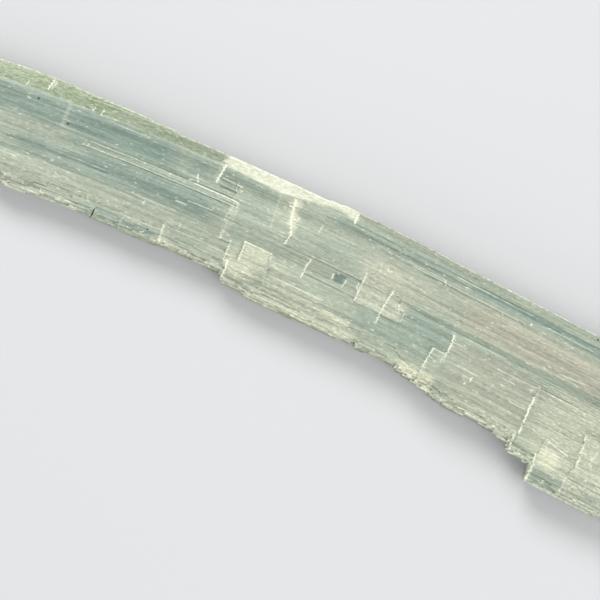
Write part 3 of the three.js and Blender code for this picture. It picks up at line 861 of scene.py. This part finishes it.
class Strokes:
    """Adds the drawn marks of the top face to a material's node tree"""

    def __init__(self, wiring, lay):
        self.w = wiring
        self.stroke = stroke_group()
        self.cross_break_and_highlight = break_and_highlight_group()
        parts = wiring.node("ShaderNodeSeparateXYZ", {0: lay}).outputs
        shift = wiring.grain(lay, (300, 0.4, 300), detail=2.0)
        shift = wiring.math("MULTIPLY", wiring.math("SUBTRACT", shift, 0.5), 1.5)
        wander = wiring.grain(lay, (16, 300, 300), detail=1.0)
        wander = wiring.math("MULTIPLY", wiring.math("SUBTRACT", wander, 0.5), 0.5)
        self.along = wiring.math("ADD", parts[0], shift)
        self.across = wiring.math("ADD", parts[1], wander)
        feather = wiring.grain(lay, (300, 0.3, 300), detail=1.0)
        feather = wiring.math("POWER", wiring.spread(feather, 0.3, 0.75), 1.5)
        self.feather = wiring.math("ADD", feather, 0.02)
        self.straight = self.flat(parts[0], self.across)
        self.exact = self.flat(parts[0], parts[1])

    def flat(self, along, across):
        return self.w.node("ShaderNodeCombineXYZ", {0: along, 1: across}).outputs[0]

    def add_line(self, so_far, s0, t0, s1, t1, width, strength, place=None):
        run = (s1 - s0, t1 - t0, 0)
        values = {
            "Place": place or self.straight,
            "From": (s0, t0, 0),
            "Run": run,
            "Per Run": 1 / (run[0] ** 2 + run[1] ** 2),
            "Width": width,
            "Strength": abs(strength),
            "So Far": so_far,
        }
        return self.w.node("ShaderNodeGroup", values, node_tree=self.stroke).outputs[0]

    def add_break_and_highlight(self, so_far, s0, t0, s1, t1, width, tail, strength):
        if t0 > t1:
            s0, t0, s1, t1 = s1, t1, s0, t0
        values = {
            "Along": self.along,
            "Across": self.across,
            "Feather": self.feather,
            "S": s0,
            "T": t0,
            "Slope": (s1 - s0) / (t1 - t0),
            "Reach": t1 - t0,
            "Width": width,
            "Tail": tail,
            "Strength": strength,
            "So Far": so_far,
        }
        return self.w.node("ShaderNodeGroup", values, node_tree=self.cross_break_and_highlight).outputs[0]

    def added(self, add, marks, total=0.0):
        for mark in marks:
            total = add(total, *mark)
        return total


def selenite_material(colours):
    material = bpy.data.materials.new("selenite")
    material.use_nodes = True
    w = Wiring(material.node_tree)
    lay = w.node("ShaderNodeAttribute", attribute_name="lay").outputs["Vector"]
    frost_and_painted_highlight, cream, mist = w.painted("frost_and_painted_highlight"), w.painted("cream"), w.painted("mist")
    warm, olive, painted_facet_highlight = w.painted("warm"), w.painted("olive"), w.painted("painted_facet_highlight")

    bands = w.grain(lay, (70, 2.2, 8))
    streaks = w.grain(lay, (26, 0.6, 2))
    hairs = w.grain(lay, (7, 0.32, 0.8), detail=2.0)
    crumbs = w.grain(lay, (1.1, 0.6, 0.6), detail=4.0, roughness=0.7)
    flecks = w.grain(lay, (1.3, 0.4, 0.6), detail=2.0)

    colour = w.mix(mist, colours.sage, colours.mist)
    colour = w.mix(warm, colour, colours.warm)
    mottled = w.math("MULTIPLY", olive, w.spread(flecks, 0.6, 0.35, 0.4, 1.0))
    colour = w.mix(mottled, colour, colours.olive)
    blush = w.math("MULTIPLY", w.spread(crumbs, 0.54, 0.66, 0.0, 0.55), olive)
    colour = w.mix(blush, colour, BLUSH)
    torn = w.math("MULTIPLY_ADD", crumbs, 0.32, w.math("MULTIPLY", streaks, 0.2))
    torn = w.math("MULTIPLY_ADD", cream, 0.6, torn)
    torn = w.math("MULTIPLY", w.spread(torn, 0.28, 0.92), w.spread(cream, 0.0, 0.2), clamp=True)
    colour = w.mix(torn, colour, colours.cream)

    gain = w.math("MULTIPLY_ADD", w.math("SUBTRACT", bands, 0.5), 0.4, 1.0)
    for noise, depth in ((streaks, 0.6), (hairs, 0.7), (crumbs, 0.6), (flecks, 0.55)):
        gain = w.math("MULTIPLY_ADD", w.math("SUBTRACT", noise, 0.5), depth, gain)
    strokes = Strokes(w, lay)
    shown = w.spread(w.node("ShaderNodeSeparateXYZ", {0: lay}).outputs[2], *MARK_FADE)
    dark = strokes.added(strokes.add_line, [mark for mark in HAIRLINES if mark[-1] < 0])
    dark = w.math("MULTIPLY", dark, w.math("MULTIPLY", shown, -0.55))
    gain = w.math("MULTIPLY", gain, w.math("ADD", dark, 1.0))
    lit = w.node("ShaderNodeVectorMath", {0: colour, "Scale": gain}, operation="SCALE")
    colour = lit.outputs[0]

    white = strokes.added(strokes.add_line, [mark for mark in HAIRLINES if mark[-1] > 0])
    # Breaks across the grain, with painted highlight along the step walls of the plates
    white = strokes.added(strokes.add_break_and_highlight, BREAKS_AND_STEP_HIGHLIGHTS, white)
    white = w.math("MULTIPLY", white, w.spread(flecks, 0.25, 0.6, 0.55, 1.05))
    white = w.math("MULTIPLY", white, shown)
    # Bruising together with painted highlight: the whitened steps and rims and the painted
    # highlight of the back facet, broken up by the crumbs
    bruising_and_painted_highlight = w.math("ADD", frost_and_painted_highlight, w.math("MULTIPLY", painted_facet_highlight, 0.75))
    bruising_and_painted_highlight = w.math("MULTIPLY", bruising_and_painted_highlight, w.spread(crumbs, 0.35, 0.62, 0.2, 1.0))
    # Painted glints: white specks where the flecks noise peaks, a few more where it is creamy or
    # bruised
    painted_glints = w.math("ADD", flecks, w.math("MULTIPLY", w.math("ADD", cream, frost_and_painted_highlight), 0.08))
    painted_glints = w.spread(painted_glints, 0.655, 0.74, 0.0, 0.7)
    white = w.math("ADD", w.math("ADD", white, painted_glints), bruising_and_painted_highlight, clamp=True)
    # Painted highlight of the back facet, lightening it towards cream
    colour = w.mix(w.math("MULTIPLY", painted_facet_highlight, 0.8), colour, colours.cream)
    # The white marks, painted highlights and painted glints among them, turn to the bruise colour
    colour = w.mix(white, colour, colours.bruise_and_highlight)
    dots = [(s, t, s + 0.05, t, radius) for s, t, radius in SPECKS]
    marks = [(*mark, 1.0, strokes.exact) for mark in (DARK_CRACK, *dots)]
    stained = w.math("MULTIPLY", strokes.added(strokes.add_line, marks), shown)
    colour = w.mix(stained, colour, STAIN)

    clear = w.math("MULTIPLY_ADD", mist, 0.28, w.spread(bands, 0.6, 0.4, 0.1, 0.22))
    opaque = w.math("MAXIMUM", white, w.math("MULTIPLY", torn, 0.7))
    through = w.math("MULTIPLY", clear, w.math("SUBTRACT", 1.0, opaque), clamp=True)
    rough = w.math("MULTIPLY_ADD", white, 0.25, w.spread(streaks, 0.3, 0.7, 0.3, 0.46))

    height = w.math("MULTIPLY_ADD", hairs, 0.7, streaks)
    height = w.math("MULTIPLY_ADD", crumbs, w.math("MULTIPLY_ADD", frost_and_painted_highlight, 1.4, 0.25), height)
    bump = w.node("ShaderNodeBump", {"Strength": 0.6, "Distance": 0.00016, "Height": height})

    shader = w.node(
        "ShaderNodeBsdfPrincipled",
        {
            "Base Color": colour,
            "Roughness": rough,
            "IOR": IOR,
            "Transmission Weight": through,
            "Normal": bump.outputs[0],
        },
    )
    inside = w.node("ShaderNodeVolumeAbsorption", ABSORPTION)
    w.node("ShaderNodeOutputMaterial", {"Surface": shader.outputs[0], "Volume": inside.outputs[0]})
    return material


def stage_material(colour):
    material = bpy.data.materials.new("studio_floor")
    material.use_nodes = True
    w = Wiring(material.node_tree)
    shader = w.node("ShaderNodeBsdfPrincipled", {"Base Color": (*colour, 1.0), "Roughness": 0.8})
    w.node("ShaderNodeOutputMaterial", {"Surface": shader.outputs[0]})
    return material


class SELENITE_OT_blade(bpy.types.Operator):
    """Models the blade as one closed body, bends it and gives it its finish"""

    bl_idname = "selenite.blade"
    bl_label = "Crystal blade"

    def execute(self, context):
        sizes = context.scene.blade_sizes
        growth = Growth(sizes.splinter_count)
        block = model_block(sizes, growth)
        home = points_of(block.data)
        set_points(block.data, draw_into_section(home))
        depth = sizes.striation_depth
        displace(block, "striations", (24, 0.9, 5), depth)
        displace(block, "crumbs", (1.6, 1.1, 0.8), depth * 0.5)
        paint(block, growth, home)
        points = points_of(block.data)
        points[:, 2] -= points[:, 2].min()  # its lowest points rest on the floor
        set_points(block.data, bend(points))
        bpy.ops.object.shade_smooth_by_angle(angle=math.radians(28))
        block.data.materials.clear()
        block.data.materials.append(selenite_material(context.scene.blade_colours))
        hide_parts(CAD_NODE)
        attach(block, "root")
        return {"FINISHED"}


class SELENITE_OT_stage(bpy.types.Operator):
    """Lays the plain floor, hangs the soft lights and sets the camera over the blade"""

    bl_idname = "selenite.stage"
    bl_label = "Floor, lights and camera"

    # Name, place and size in metres, power
    LIGHTS = (
        ("key_light", (-0.45, 0.75, 0.9), 0.7, 11.0),
        ("fill_light", (0.8, -0.3, 0.8), 0.9, 5.0),
        ("low_light", (0.1, -0.9, 0.35), 0.6, 2.2),
    )

    def add_floor(self, settings):
        deselect_all()
        bpy.ops.mesh.primitive_plane_add(size=6, location=(0, 0, 0))
        floor = bpy.context.object
        floor.name = floor.data.name = "studio_floor"
        floor.data.materials.append(stage_material(settings.floor_colour))

    def add_lights(self):
        for name, place, size, power in self.LIGHTS:
            bpy.ops.object.light_add(type="AREA", location=place)
            light = bpy.context.object
            light.name = light.data.name = name
            light.data.shape = "DISK"
            light.data.size = size
            light.data.energy = power
            light.rotation_euler = (-light.location).to_track_quat("-Z", "Y").to_euler()
        world = bpy.data.worlds.new("studio")
        world.use_nodes = True
        world.node_tree.nodes["Background"].inputs["Color"].default_value = (1.0, 1.0, 1.0, 1.0)
        world.node_tree.nodes["Background"].inputs["Strength"].default_value = 0.5
        bpy.context.scene.world = world
        bpy.context.scene.view_settings.view_transform = "Standard"

    def add_camera(self, settings):
        """Straight above the place that the middle of the picture shows, with the blade running
        down to the right as the photograph has it"""
        middle = bend(np.array([[*PHOTO_MIDDLE, TOP + 0.5]]))[0]
        width = PHOTO_WIDTH * settings.millimetres_per_pixel
        height = width * settings.lens / SENSOR
        bpy.ops.object.camera_add(
            location=(middle[0] * MM, middle[1] * MM, (middle[2] + height) * MM),
            rotation=(0, 0, PHOTO_TURN),
        )
        camera = bpy.context.object
        camera.name = camera.data.name = "photo_camera"
        camera.data.lens = settings.lens
        camera.data.sensor_width = SENSOR
        camera.data.clip_start = 0.01
        bpy.context.scene.camera = camera

    def execute(self, context):
        settings = context.scene.stage_settings
        self.add_floor(settings)
        self.add_lights()
        self.add_camera(settings)
        return {"FINISHED"}


class SELENITE_PT_panel(bpy.types.Panel):
    """Lists the sizes, the colours and the steps of the model"""

    bl_idname = "SELENITE_PT_panel"
    bl_label = "Selenite crystal blade"
    bl_space_type = "VIEW_3D"
    bl_region_type = "UI"
    bl_category = "Selenite"

    def draw(self, context):
        scene = context.scene
        for group in (scene.blade_sizes, scene.blade_colours, scene.stage_settings):
            box = self.layout.box()
            for name in group.__annotations__:
                box.prop(group, name)
        for step in STEPS:
            self.layout.operator(step.bl_idname)


STEPS = (SELENITE_OT_blade, SELENITE_OT_stage)
CLASSES = (BladeSizes, BladeColours, StageSettings, *STEPS, SELENITE_PT_panel)


def register():
    for cls in CLASSES:
        bpy.utils.register_class(cls)
    bpy.types.Scene.blade_sizes = bpy.props.PointerProperty(type=BladeSizes)
    bpy.types.Scene.blade_colours = bpy.props.PointerProperty(type=BladeColours)
    bpy.types.Scene.stage_settings = bpy.props.PointerProperty(type=StageSettings)


def unregister():
    del bpy.types.Scene.stage_settings
    del bpy.types.Scene.blade_colours
    del bpy.types.Scene.blade_sizes
    for cls in reversed(CLASSES):
        bpy.utils.unregister_class(cls)


def main():
    register()
    bpy.ops.selenite.blade()
    bpy.ops.selenite.stage()


if __name__ == "__main__":
    main()
